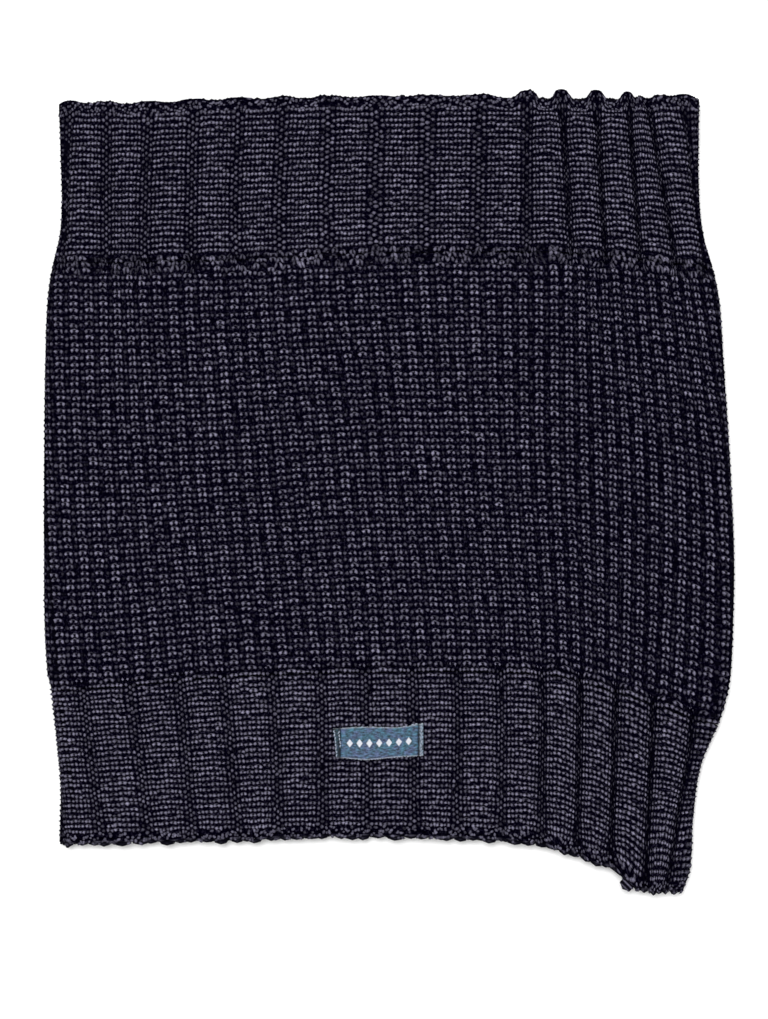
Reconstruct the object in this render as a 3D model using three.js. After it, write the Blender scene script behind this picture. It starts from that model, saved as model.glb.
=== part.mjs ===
// A knitted snood, lying flat. One tube of fabric: a ribbed band at each end, a plain body
// between them, a chain of cast-on and cast-off stitches on its two hems, and a small woven
// label sewn to the lower band. Millimetres, +Z up from the surface that it lies on, +Y
// towards the upper hem.
import * as THREE from 'three';

// Driving dimensions.
const HEIGHT = 15; // of the lying tube, front sheet over back sheet
const FACE = 1.8; // from the middle of the fabric out to the crests of its outer face
const BODY_FABRIC = 3.6; // thickness of the body's knit
const RIB_FABRIC = 2.4; // thickness of the bands' knit, before its ribs are folded in
const JOIN_GAP = 0.4; // between a band and the body, and between a band and its hem
const RIBS = 32; // knit ribs round the tube
const RIB_KNIT = 2 / 3; // share of a rib that is knit; the rest is the purl groove

// Courses are rows of stitches, counted from the lower hem.
const LOWER_HEM = 0;
const LOWER_JOIN = 28;
const UPPER_JOIN = 88;
const UPPER_HEM = 116;

// Where the two folded edges of the lying tube are, course by course.
const EDGES = [
  { course: 0, left: -132.6, right: 118.0 },
  { course: 3, left: -132.6, right: 121.0 },
  { course: 10, left: -132.8, right: 122.0 },
  { course: 20, left: -134.9, right: 125.4 },
  { course: 28, left: -136.6, right: 132.8 },
  { course: 32, left: -137.4, right: 136.0 },
  { course: 36, left: -138.1, right: 137.4 },
  { course: 50, left: -138.4, right: 138.4 },
  { course: 64, left: -138.2, right: 136.6 },
  { course: 76, left: -137.8, right: 134.2 },
  { course: 84, left: -136.8, right: 132.6 },
  { course: 88, left: -135.2, right: 130.4 },
  { course: 94, left: -132.3, right: 126.4 },
  { course: 102, left: -131.6, right: 124.4 },
  { course: 116, left: -132.4, right: 124.4 },
];

// Where the purl grooves of the front lie, from the left edge to the right one: millimetres
// across the page, measured along the fabric where it turns under at an edge. The ribs between
// them are knit. The middle of the first groove is at rib 0.5, the next at 1.5, and so on.
const GROOVES = [
  { rib: 0.5, hemTop: -127.2, joinTop: -130.0, joinLow: -122.0, hemLow: -114.8 },
  { rib: 1.5, hemTop: -112.4, joinTop: -112.4, joinLow: -103.4, hemLow: -95.6 },
  { rib: 2.5, hemTop: -96.0, joinTop: -97.0, joinLow: -83.8, hemLow: -78.2 },
  { rib: 3.5, hemTop: -78.0, joinTop: -78.6, joinLow: -65.8, hemLow: -60.0 },
  { rib: 4.5, hemTop: -60.0, joinTop: -60.8, joinLow: -46.6, hemLow: -44.0 },
  { rib: 5.5, hemTop: -42.4, joinTop: -43.4, joinLow: -27.4, hemLow: -26.4 },
  { rib: 6.5, hemTop: -24.2, joinTop: -24.6, joinLow: -9.6, hemLow: -8.6 },
  { rib: 7.5, hemTop: -4.8, joinTop: -5.2, joinLow: 9.0, hemLow: 10.2 },
  { rib: 8.5, hemTop: 15.4, joinTop: 15.2, joinLow: 26.8, hemLow: 27.0 },
  { rib: 9.5, hemTop: 36.0, joinTop: 35.4, joinLow: 44.4, hemLow: 44.6 },
  { rib: 10.5, hemTop: 55.0, joinTop: 54.8, joinLow: 60.8, hemLow: 60.8 },
  { rib: 11.5, hemTop: 68.6, joinTop: 72.4, joinLow: 75.8, hemLow: 74.8 },
  { rib: 12.5, hemTop: 82.4, joinTop: 86.2, joinLow: 90.2, hemLow: 88.2 },
  { rib: 13.5, hemTop: 95.2, joinTop: 100.2, joinLow: 105.2, hemLow: 102.0 },
  { rib: 14.5, hemTop: 102.8, joinTop: 114.2, joinLow: 121.2, hemLow: 110.8 },
  { rib: 15.5, hemTop: 117.2, joinTop: 126.6, joinLow: 140.0, hemLow: 124.6 },
];
// Halfway up the body the grooves have shifted by this share of their way down it.
const MIDDLE_SHIFT = 0.28;

// How far up the page a course lies, at shares of the width from the left edge.
const SHARES = ['at0', 'at10', 'at25', 'at50', 'at75', 'at84', 'at91', 'at100'];
const COURSES = [
  {
    course: 0, at0: -138.4, at10: -137.6, at25: -136.6, at50: -135.2,
    at75: -137.4, at84: -143.2, at91: -149.4, at100: -151.0,
  },
  {
    course: 28, at0: -77.0, at10: -75.4, at25: -71.6, at50: -69.4,
    at75: -70.4, at84: -76.6, at91: -82.8, at100: -91.0,
  },
  {
    course: 58, at0: 7.4, at10: 7.2, at25: 8.6, at50: 12.2,
    at75: 11.0, at84: 7.5, at91: 3.6, at100: -2.6,
  },
  {
    course: 88, at0: 91.8, at10: 91.8, at25: 91.8, at50: 92.4,
    at75: 92.6, at84: 92.2, at91: 91.7, at100: 90.6,
  },
  {
    course: 116, at0: 154.8, at10: 154.2, at25: 155.8, at50: 156.8,
    at75: 157.2, at84: 157.0, at91: 156.8, at100: 157.0,
  },
];

// How the ribs lie in the upper and in the lower band: how far their grooves are pulled shut,
// how deep these are, and how far the hem stands out at them beside the ribs' middles. Ribs
// are numbered on round the back, which is plain from rib 17 to rib 31.
const FOLDS = [
  { rib: 0, upShut: 0.2, upDepth: 1.6, upHem: 1.2, loShut: 0.2, loDepth: 1.4, loHem: -0.3 },
  { rib: 3.5, upShut: 0.15, upDepth: 1.5, upHem: 1.1, loShut: 0.2, loDepth: 1.4, loHem: -0.3 },
  { rib: 7, upShut: -0.08, upDepth: 1, upHem: 0.9, loShut: 0.2, loDepth: 1.5, loHem: -0.2 },
  { rib: 9.5, upShut: 0, upDepth: 1.3, upHem: 0.8, loShut: 0.25, loDepth: 1.6, loHem: -0.4 },
  { rib: 10.5, upShut: 0.2, upDepth: 1.8, upHem: 4.2, loShut: 0.4, loDepth: 1.9, loHem: -0.8 },
  { rib: 11.5, upShut: 0.5, upDepth: 2.2, upHem: 5.2, loShut: 0.5, loDepth: 2.1, loHem: -1.3 },
  { rib: 12.5, upShut: 0.55, upDepth: 2.3, upHem: 5, loShut: 0.55, loDepth: 2.3, loHem: -1.4 },
  { rib: 13.5, upShut: 0.55, upDepth: 2.2, upHem: 4, loShut: 0.6, loDepth: 2.4, loHem: -1.3 },
  { rib: 14, upShut: 0.5, upDepth: 2.1, upHem: 1.2, loShut: 0.58, loDepth: 2.3, loHem: -1.1 },
  { rib: 14.5, upShut: 0.5, upDepth: 2.1, upHem: -1.4, loShut: 0.55, loDepth: 2.3, loHem: -1 },
  { rib: 15, upShut: 0.5, upDepth: 2, upHem: 0.6, loShut: 0.5, loDepth: 2.1, loHem: -0.9 },
  { rib: 15.5, upShut: 0.5, upDepth: 1.9, upHem: 1.8, loShut: 0.45, loDepth: 2, loHem: -0.8 },
  { rib: 17, upShut: 0.25, upDepth: 1.5, upHem: 0.5, loShut: 0.25, loDepth: 1.5, loHem: -0.3 },
  { rib: 31, upShut: 0.25, upDepth: 1.5, upHem: 0.5, loShut: 0.25, loDepth: 1.5, loHem: -0.3 },
  { rib: 32, upShut: 0.2, upDepth: 1.6, upHem: 1.2, loShut: 0.2, loDepth: 1.4, loHem: -0.3 },
];
const HEM_OPENING = 0.85; // share of that pulling shut that is lost at a hem
const HEM_COURSES = 6; // over which it is lost
const LOBE = 1.6; // how square the lobes of a hem that stands out are
const LOBE_COURSES = 3.5; // over which they die away

// The lower hem drops by a step where the cast-on chain starts and ends.
const STEP = { share: 0.915, width: 0.05, drop: 6.6, courses: 14 };
// The front sheet stands a little higher where its ribs are pushed together.
const LIFT = { share: 0.8, width: 0.22, height: 0.9 };

const clamp01 = (t) => Math.min(1, Math.max(0, t));
const smooth = (t) => clamp01(t) ** 2 * (3 - 2 * clamp01(t));
const mix = (a, b, t) => a + (b - a) * t;

// A smooth curve through one column of a table, at a value of its key column.
function along(table, key, column, at) {
  const last = table.length - 1;
  let i = 0;
  while (i < last - 1 && at > table[i + 1][key]) i++;
  const slope = (j) => {
    const a = table[Math.max(j - 1, 0)];
    const b = table[Math.min(j + 1, last)];
    return (b[column] - a[column]) / (b[key] - a[key]);
  };
  const from = table[i];
  const to = table[i + 1];
  const span = to[key] - from[key];
  const t = clamp01((at - from[key]) / span);
  return (
    from[column] * (1 + 2 * t) * (1 - t) ** 2 + to[column] * t * t * (3 - 2 * t) +
    span * (slope(i) * t * (1 - t) ** 2 - slope(i + 1) * t * t * (1 - t))
  );
}

// How far up the page a course lies, at a share of the width.
function courseLine(course, share) {
  const rows = COURSES.map((row) => {
    const points = SHARES.map((name) => ({ share: Number(name.slice(2)) / 100, up: row[name] }));
    return { course: row.course, up: along(points, 'share', 'up', share) };
  });
  return along(rows, 'course', 'up', course);
}

// A column of FOLDS: the lower band's at its end of the body, the upper band's at the other.
function fold(rib, course, column) {
  const round = ((rib % RIBS) + RIBS) % RIBS;
  const lower = along(FOLDS, 'rib', 'lo' + column, round);
  const upper = along(FOLDS, 'rib', 'up' + column, round);
  return mix(lower, upper, smooth((course - LOWER_JOIN) / (UPPER_JOIN - LOWER_JOIN)));
}

// How much a course belongs to a ribbed band: 1 there and 0 in the body.
const JOIN_COURSES = 1.5;
const inBand = (course) =>
  1 - smooth((course - LOWER_JOIN) / JOIN_COURSES) * smooth((UPPER_JOIN - course) / JOIN_COURSES);

// The loop of the fabric's middle in a course: flat sheets with a round turn at each end.
const TURN_RADIUS = HEIGHT / 2 - FACE;
const QUARTER = (Math.PI / 2) * TURN_RADIUS;
function loop(course) {
  const left = along(EDGES, 'course', 'left', course) + FACE;
  const width = along(EDGES, 'course', 'right', course) - FACE - left;
  return { left, width, half: width - 2 * TURN_RADIUS + 2 * QUARTER };
}

// How far along that loop each groove lies, over the front from the left turn's middle; those
// of the back are evenly spaced in what is left. One groove more is kept at each end.
const groovePlaces = new Map();
function placesOf(course) {
  if (groovePlaces.has(course)) return groovePlaces.get(course);
  const { left, half } = loop(course);
  const start = left + TURN_RADIUS - QUARTER;
  const front = GROOVES.map((groove) => {
    const shifted = mix(groove.joinTop, groove.joinLow, MIDDLE_SHIFT);
    const rows = [
      { course: LOWER_HEM, x: groove.hemLow },
      { course: LOWER_JOIN, x: groove.joinLow },
      { course: (LOWER_JOIN + UPPER_JOIN) / 2, x: shifted },
      { course: UPPER_JOIN, x: groove.joinTop },
      { course: UPPER_HEM, x: groove.hemTop },
    ];
    return { rib: groove.rib, way: along(rows, 'course', 'x', course) - start };
  });
  const last = front[front.length - 1];
  const behind = RIBS - front.length + 1;
  const pitch = (2 * half + front[0].way - last.way) / behind;
  const places = [...front];
  for (let i = 1; i <= behind; i++) places.push({ rib: last.rib + i, way: last.way + i * pitch });
  places.unshift({ rib: front[0].rib - 1, way: front[0].way - pitch });
  groovePlaces.set(course, places);
  return places;
}

// A point of the fabric: `out` is its distance outwards from the fabric's middle.
function lay(rib, course, out) {
  const fromHem = Math.min(course, UPPER_HEM - course);
  const opening = 1 - HEM_OPENING * smooth(1 - fromHem / HEM_COURSES);
  const shut = fold(rib, course, 'Shut') * inBand(course) * opening;
  const at = rib + (shut * Math.sin(2 * Math.PI * rib)) / (2 * Math.PI);
  const { left, width, half } = loop(course);
  const round = ((at + 0.5 + RIBS) % RIBS) - 0.5;
  const way = (along(placesOf(course), 'rib', 'way', round) + 2 * half) % (2 * half);
  const front = way <= half;
  const reach = front ? way : 2 * half - way;

  // Over the left turn, along the flat, and over the right turn.
  let angle = Math.PI / 2;
  let x = TURN_RADIUS + (reach - QUARTER);
  if (reach < QUARTER) {
    angle = reach / TURN_RADIUS;
    x = TURN_RADIUS * (1 - Math.cos(angle));
  }
  if (reach > half - QUARTER) {
    angle = Math.PI - (half - reach) / TURN_RADIUS;
    x = width - TURN_RADIUS * (1 + Math.cos(angle));
  }
  const across = clamp01(x / width);
  const normal = new THREE.Vector2(-Math.cos(angle), (front ? 1 : -1) * Math.sin(angle));

  const end = course < (LOWER_JOIN + UPPER_JOIN) / 2 ? -1 : 1;
  const lobe = Math.tanh(LOBE * Math.cos(2 * Math.PI * rib)) / Math.tanh(LOBE);
  const standing = (-fold(rib, course, 'Hem') / 2) * lobe * smooth(1 - fromHem / LOBE_COURSES);
  const step = STEP.drop * smooth((across - STEP.share) / STEP.width + 0.5);
  const y =
    courseLine(course, across) + end * standing -
    (end < 0 ? step * smooth(1 - fromHem / STEP.courses) : 0);

  return new THREE.Vector3(
    left + x + normal.x * out,
    y,
    HEIGHT / 2 + TURN_RADIUS * normal.y + (front ? liftAt(across) * normal.y : 0) + normal.y * out,
  );
}
function liftAt(across) {
  return LIFT.height * Math.exp(-(((across - LIFT.share) / LIFT.width) ** 2));
}

// How far the outer face is sunk below the crests: the purl grooves of the bands.
const GROOVE_POWER = 2;
function sunk(rib, course) {
  const groove = ((1 - Math.cos(2 * Math.PI * rib)) / 2) ** GROOVE_POWER;
  return fold(rib, course, 'Depth') * groove * inBand(course);
}

// Bends a closed ring into a tube of fabric. `section` gives, for each point of the ring's own
// cross-section, its course and its distance out from the fabric's middle at a rib.
function fabricRing(section, ribs) {
  const ring = new THREE.TorusGeometry(1, 0.5, section.length, ribs.length);
  const { position, uv } = ring.attributes;
  for (let i = 0; i < position.count; i++) {
    const rib = ribs[Math.round(uv.getX(i) * ribs.length) % ribs.length];
    const place = section[Math.round(uv.getY(i) * section.length) % section.length];
    const point = lay(rib, place.course, place.out(rib));
    const y = point.y + (place.shift ?? 0);
    position.setXYZ(i, point.x, y, point.z);
  }
  ring.computeVertexNormals();
  return ring;
}

// Outer face from the lower course to the upper one, then the inner face back down. The two
// ends are drawn in by half the gap to the neighbouring piece.
function wallSection(courses, fabric) {
  const last = courses.length - 1;
  const shiftAt = (i) => (i === 0 ? JOIN_GAP / 2 : i === last ? -JOIN_GAP / 2 : 0);
  const outer = courses.map((course, i) => ({
    course,
    shift: shiftAt(i),
    out: (rib) => FACE - sunk(rib, course),
  }));
  const inner = courses.map((course, i) => ({
    course,
    shift: shiftAt(i),
    out: (rib) => FACE - sunk(rib, course) - fabric,
  }));
  return [...outer, ...inner.reverse()];
}

const evenly = (from, to, steps) =>
  Array.from({ length: steps + 1 }, (_, i) => mix(from, to, i / steps));

// Ribs at which the bands' sections stand: both shoulders of each rib, its crown and the
// bottom of its groove, with more in the ribs that lie on the two turns.
const SHOULDER = RIB_KNIT / 2;
const TURN_RIBS = [0, 15, 16, 31];
const bandRibs = Array.from({ length: RIBS }, (_, rib) => {
  const half = SHOULDER / 2;
  const between = TURN_RIBS.includes(rib) ? [-half, 0, half] : [0];
  return [-SHOULDER, ...between, SHOULDER, 0.5].map((corner) => rib + corner);
}).flat();
// The body's stand closer at the turns, too.
const bodyRibs = [
  ...evenly(-1, 1, 10),
  ...evenly(1, 15, 35).slice(1),
  ...evenly(15, 17, 10).slice(1),
  ...evenly(17, 31, 35).slice(1, -1),
];

const BAND_STEPS = 5;
const BODY_STEPS = 7;
const lowerCourses = evenly(LOWER_HEM, LOWER_JOIN - JOIN_COURSES / 2, BAND_STEPS);
const upperCourses = evenly(UPPER_JOIN + JOIN_COURSES / 2, UPPER_HEM, BAND_STEPS);
const bodyCourses = evenly(LOWER_JOIN - JOIN_COURSES / 2, UPPER_JOIN + JOIN_COURSES / 2, BODY_STEPS);

// A hem's chain of stitches: a cord along the end of the fabric. It lies `away` from the end.
function hemSection(course, away, size) {
  const middle = (rib) => FACE - sunk(rib, course) - RIB_FABRIC / 2;
  const near = away * (JOIN_GAP / 2);
  const far = away * (JOIN_GAP / 2 + size);
  const half = size / 2;
  const corners = [
    { shift: near, out: (rib) => middle(rib) - half },
    { shift: near, out: (rib) => middle(rib) + half },
    { shift: far, out: (rib) => middle(rib) + half },
    { shift: far, out: (rib) => middle(rib) - half },
  ].map((corner) => ({ course, ...corner }));
  return away < 0 ? corners.reverse() : corners;
}
const UPPER_CHAIN = 1.6;
const LOWER_CHAIN = 2.4;

// The label: a woven strip lying over two ribs of the lower band, its right end a little up.
const LABEL = { x: -4.0, y: -99.1, width: 35.2, height: 12.3, thick: 0.8, rise: 1.4 };
const LABEL_GAP = 0.3;
function labelStrip() {
  const strip = new THREE.BoxGeometry(LABEL.width, LABEL.height, LABEL.thick, 12, 2, 1);
  const { position } = strip.attributes;
  for (let i = 0; i < position.count; i++) {
    const share = position.getX(i) / LABEL.width + 0.5;
    position.setY(i, position.getY(i) + LABEL.rise * share ** 3);
  }
  const { left, width } = loop((LOWER_HEM + LOWER_JOIN) / 2);
  const crown = HEIGHT + liftAt((LABEL.x + LABEL.width / 2 - left) / width);
  strip.translate(LABEL.x, LABEL.y, crown + LABEL_GAP + LABEL.thick / 2);
  strip.computeVertexNormals();
  return strip;
}

const knitYarn = (tone) =>
  new THREE.MeshStandardMaterial({ color: new THREE.Color(...tone), roughness: 0.75, metalness: 0 });
const NAVY = [0.045, 0.043, 0.065];
const EDGE_NAVY = [0.035, 0.034, 0.055];
const LABEL_BLUE = [0.09, 0.15, 0.23];

const snood = new THREE.Group();
snood.name = 'snood';
function piece(name, geometry, material) {
  const mesh = new THREE.Mesh(geometry, material);
  mesh.name = name;
  snood.add(mesh);
}

piece('lower_rib_band', fabricRing(wallSection(lowerCourses, RIB_FABRIC), bandRibs), knitYarn(NAVY));
piece('body', fabricRing(wallSection(bodyCourses, BODY_FABRIC), bodyRibs), knitYarn(NAVY));
piece('upper_rib_band', fabricRing(wallSection(upperCourses, RIB_FABRIC), bandRibs), knitYarn(NAVY));
piece('cast_on_chain', fabricRing(hemSection(LOWER_HEM, -1, LOWER_CHAIN), bandRibs), knitYarn(EDGE_NAVY));
piece('cast_off_chain', fabricRing(hemSection(UPPER_HEM, 1, UPPER_CHAIN), bandRibs), knitYarn(EDGE_NAVY));
piece('label', labelStrip(), knitYarn(LABEL_BLUE));

export default snood;
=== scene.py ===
import math

import bpy
import numpy as np
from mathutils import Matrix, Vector


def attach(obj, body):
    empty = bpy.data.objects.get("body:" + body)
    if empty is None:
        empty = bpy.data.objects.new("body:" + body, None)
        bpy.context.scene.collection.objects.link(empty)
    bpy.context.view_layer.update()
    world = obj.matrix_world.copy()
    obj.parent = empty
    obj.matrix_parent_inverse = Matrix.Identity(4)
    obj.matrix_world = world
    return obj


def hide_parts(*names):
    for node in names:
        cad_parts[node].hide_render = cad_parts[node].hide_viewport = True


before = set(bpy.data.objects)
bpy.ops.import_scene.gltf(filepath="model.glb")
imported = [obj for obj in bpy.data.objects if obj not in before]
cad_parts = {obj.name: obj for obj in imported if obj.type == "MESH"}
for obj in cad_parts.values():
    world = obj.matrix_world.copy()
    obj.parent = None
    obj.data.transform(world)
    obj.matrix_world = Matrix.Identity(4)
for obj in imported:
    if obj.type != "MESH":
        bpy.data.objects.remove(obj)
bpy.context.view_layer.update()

# The lower ribbed band.
# The tube starts here: rows of four knit and two purl stitches by turns, in a soft-spun
# two-ply yarn of very dark navy. The knit ribs stand up and the purl grooves sink between
# them. All lengths are in millimetres until a mesh is made.
RIBS = 32  # round the tube
STITCH = 1 / 6  # of a rib
LOWER_HEM, LOWER_JOIN, UPPER_JOIN, UPPER_HEM = 0, 28, 88, 116  # courses
BAND_ROW = 2.4  # height of a course of the bands
HEIGHT = 15.0  # of the lying tube
FACE = 1.8  # from the middle of the fabric out to its crests
RIB_FABRIC = 2.4  # thickness of the bands
JOIN_GAP = 0.4  # between a band and the body
JOIN_COURSES = 1.5  # over which a band's grooves end at the body

# Course, and where the folded edges of the lying tube are.
EDGES = np.array([
    (0, -132.6, 118.0), (3, -132.6, 121.0), (10, -132.8, 122.0), (20, -134.9, 125.4), (28, -136.6, 132.8),
    (32, -137.4, 136.0), (36, -138.1, 137.4), (50, -138.4, 138.4), (64, -138.2, 136.6),
    (76, -137.8, 134.2), (84, -136.8, 132.6), (88, -135.2, 130.4), (94, -132.3, 126.4),
    (102, -131.6, 124.4), (116, -132.4, 124.4),
])
# Where the purl grooves of the front lie at the upper hem, the upper join, the middle of the
# body, the lower join and the lower hem. In the body they are lines of stitches.
GROOVES = np.array([
    (-127.2, -130.0, -127.8, -122.0, -114.8), (-112.4, -112.4, -109.9, -103.4, -95.6),
    (-96.0, -97.0, -91.9, -83.8, -78.2), (-78.0, -78.6, -73.4, -65.8, -60.0),
    (-60.0, -60.8, -54.4, -46.6, -44.0), (-42.4, -43.4, -35.3, -27.4, -26.4),
    (-24.2, -24.6, -16.4, -9.6, -8.6), (-4.8, -5.2, 2.1, 9.0, 10.2),
    (15.4, 15.2, 20.3, 26.8, 27.0), (36.0, 35.4, 38.2, 44.4, 44.6),
    (55.0, 54.8, 55.8, 60.8, 60.8), (68.6, 72.4, 73.4, 75.8, 74.8),
    (82.4, 86.2, 90.3, 90.2, 88.2), (95.2, 100.2, 106.7, 105.2, 102.0),
    (102.8, 114.2, 123.0, 121.2, 110.8), (117.2, 126.6, 139.3, 140.0, 124.6),
])
# How far up the page five courses lie, at shares of the width from the left edge.
SHARES = np.array([0, 0.1, 0.25, 0.5, 0.75, 0.84, 0.91, 1])
LINE_COURSES = np.array([0, 28, 58, 88, 116])
LINES = np.array([
    (-138.4, -137.6, -136.6, -135.2, -137.4, -143.2, -149.4, -151.0),
    (-77.0, -75.4, -71.6, -69.4, -70.4, -76.6, -82.8, -91.0),
    (7.4, 7.2, 8.6, 12.2, 11.0, 7.5, 3.6, -2.6),
    (90.0, 90.2, 91.0, 94.0, 94.3, 92.8, 90.8, 88.4),
    (154.8, 154.2, 155.8, 156.8, 157.2, 157.0, 156.8, 157.0),
])
# Rib, then how far its grooves are pulled shut, how deep they are and how far the hem stands
# out at them: first in the upper band, then in the lower one.
FOLDS = np.array([
    (0, 0.2, 1.6, 1.2, 0.2, 1.4, -0.3), (3.5, 0.15, 1.5, 1.1, 0.2, 1.4, -0.3),
    (7, -0.08, 1.0, 0.9, 0.2, 1.5, -0.2), (9.5, 0.0, 1.3, 0.8, 0.25, 1.6, -0.4),
    (10.5, 0.2, 1.8, 4.2, 0.4, 1.9, -0.8), (11.5, 0.5, 2.2, 5.2, 0.5, 2.1, -1.3),
    (12.5, 0.55, 2.3, 5.0, 0.55, 2.3, -1.4), (13.5, 0.55, 2.2, 4.0, 0.6, 2.4, -1.3),
    (14, 0.5, 2.1, 1.2, 0.58, 2.3, -1.1), (14.5, 0.5, 2.1, -1.4, 0.55, 2.3, -1.0),
    (15, 0.5, 2.0, 0.6, 0.5, 2.1, -0.9), (15.5, 0.5, 1.9, 1.8, 0.45, 2.0, -0.8),
    (17, 0.25, 1.5, 0.5, 0.25, 1.5, -0.3), (31, 0.25, 1.5, 0.5, 0.25, 1.5, -0.3),
    (32, 0.2, 1.6, 1.2, 0.2, 1.4, -0.3),
])
HEM_OPENING, HEM_COURSES = 0.85, 6  # share of a groove's pulling shut that a hem loses, and where
LOBE, LOBE_COURSES = 1.6, 3.5  # how square a hem's lobes are, and how far they reach
# The lower hem steps down on the right, and the front sheet is lifted a little beside that.
STEP_SHARE, STEP_WIDTH, STEP_DROP, STEP_COURSES = 0.915, 0.05, 6.6, 12
LIFT_SHARE, LIFT_WIDTH, LIFT_HEIGHT = 0.8, 0.22, 0.9
TURN_RADIUS = HEIGHT / 2 - FACE
QUARTER = math.pi / 2 * TURN_RADIUS


def smooth(t):
    """A soft rise from 0 to 1."""
    t = np.clip(t, 0, 1)
    return t * t * (3 - 2 * t)


def between(t, low, high, low_slope, high_slope):
    """A smooth path from low to high, with its slopes at both ends, as t goes from 0 to 1."""
    back = 1 - t
    ends = low * (1 + 2 * t) * back**2 + high * t * t * (3 - 2 * t)
    return ends + low_slope * t * back**2 - high_slope * t * t * back


def curve(keys, values, at):
    """A smooth curve through values at keys."""
    slope = np.empty_like(values)
    spans = np.diff(keys)
    slope[0] = (values[1] - values[0]) / spans[0]
    slope[-1] = (values[-1] - values[-2]) / spans[-1]
    slope[1:-1] = (values[2:] - values[:-2]) / (spans[1:] + spans[:-1])
    i = np.clip(np.searchsorted(keys, at, side="right") - 1, 0, len(keys) - 2)
    span = keys[i + 1] - keys[i]
    t = np.clip((at - keys[i]) / span, 0, 1)
    return between(t, values[i], values[i + 1], span * slope[i], span * slope[i + 1])


def in_band(course):
    """1 in the ribbed bands, 0 in the body."""
    return 1 - smooth((course - LOWER_JOIN) / JOIN_COURSES) * smooth((UPPER_JOIN - course) / JOIN_COURSES)


def fold(rib, course, column):
    """Column 0, 1 or 2 of FOLDS, from the lower band's to the upper band's up the tube."""
    rib = np.mod(rib, RIBS)
    lower = curve(FOLDS[:, 0], FOLDS[:, 4 + column], rib)
    upper = curve(FOLDS[:, 0], FOLDS[:, 1 + column], rib)
    share = smooth((course - LOWER_JOIN) / (UPPER_JOIN - LOWER_JOIN))
    return lower + (upper - lower) * share


def loop(course):
    """The left end, the width and the half length of the fabric's middle line in a course."""
    left = curve(EDGES[:, 0], EDGES[:, 1], course) + FACE
    width = curve(EDGES[:, 0], EDGES[:, 2], course) - FACE - left
    return left, width, width - 2 * TURN_RADIUS + 2 * QUARTER


# How far along the loop each groove lies, for closely spaced courses. The grooves behind are
# spread evenly over the rest of the loop.
PLACE_STEP = 0.25
place_courses = np.arange(LOWER_HEM, UPPER_HEM + PLACE_STEP, PLACE_STEP)
place_left, place_width, place_half = loop(place_courses)
groove_rows = GROOVES.T[::-1]
front_places = np.array([
    curve(LINE_COURSES, groove_rows[:, i], place_courses) for i in range(len(GROOVES))
]) - (place_left + TURN_RADIUS - QUARTER)
BEHIND = RIBS - len(GROOVES) + 1
back_pitch = (2 * place_half + front_places[0] - front_places[-1]) / BEHIND
back_places = front_places[-1] + np.arange(1, BEHIND + 1)[:, None] * back_pitch
groove_places = np.vstack([front_places[0] - back_pitch, front_places, back_places]).T
groove_slopes = np.gradient(groove_places, axis=1)


def way_along(rib, course):
    """How far along the loop a rib lies in a course."""
    row = np.clip(course, LOWER_HEM, UPPER_HEM) / PLACE_STEP
    lower = np.minimum(row.astype(int), len(place_courses) - 2)
    share = row - lower
    place = np.mod(rib + 0.5, RIBS)
    i = place.astype(int)

    def at(table, column):
        return table[lower, column] * (1 - share) + table[lower + 1, column] * share

    return between(
        place - i, at(groove_places, i), at(groove_places, i + 1), at(groove_slopes, i),
        at(groove_slopes, i + 1),
    )


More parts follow.
